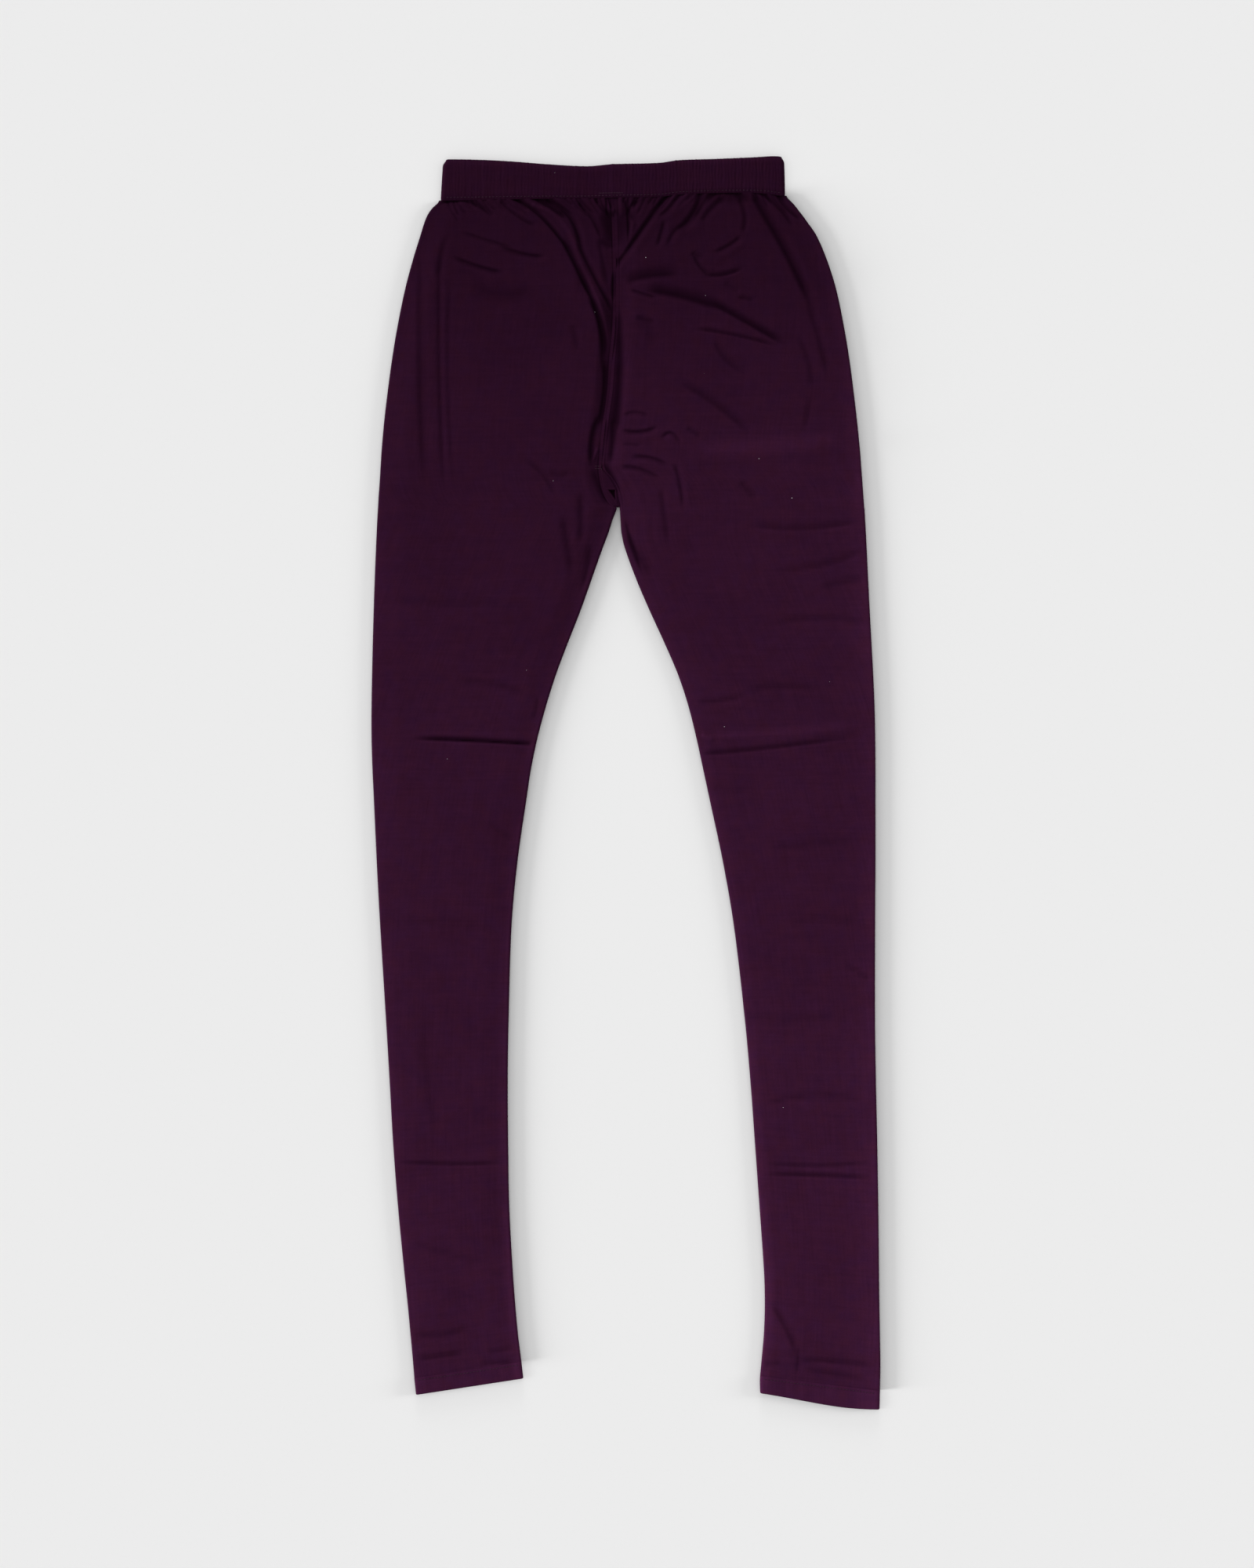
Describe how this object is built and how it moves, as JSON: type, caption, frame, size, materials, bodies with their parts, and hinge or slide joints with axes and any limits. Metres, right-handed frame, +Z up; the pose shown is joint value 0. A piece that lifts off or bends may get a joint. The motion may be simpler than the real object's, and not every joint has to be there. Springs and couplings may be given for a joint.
{
  "type": "churidar pants",
  "caption": "Churidar pants in plain aubergine stretch knit, laid flat: gathered elastic waistband, centre seam with a crotch gusset, long narrow legs, turned-up ankle hems",
  "frame": {"origin": "on the floor under the middle of the garment's outline, with the back layer's underside on Z = 0", "axes": "+X across the garment to the right as seen from above, +Y along it towards the waist, +Z up out of the front layer"},
  "size_m": [0.4473, 1.1, 0.0074],
  "materials": {
    "knit": "fine single jersey, matt with a faint sheen",
    "casing": "gathered jersey over elastic, matt",
    "thread": "spun sewing thread",
    "lint": "loose cotton fibre"
  },
  "bodies": {
    "root": {"waistband": "casing", "right_leg": "knit", "left_leg": "knit", "crotch_gusset": "knit", "right_hem": "knit", "left_hem": "knit"}
  },
  "joints": []
}
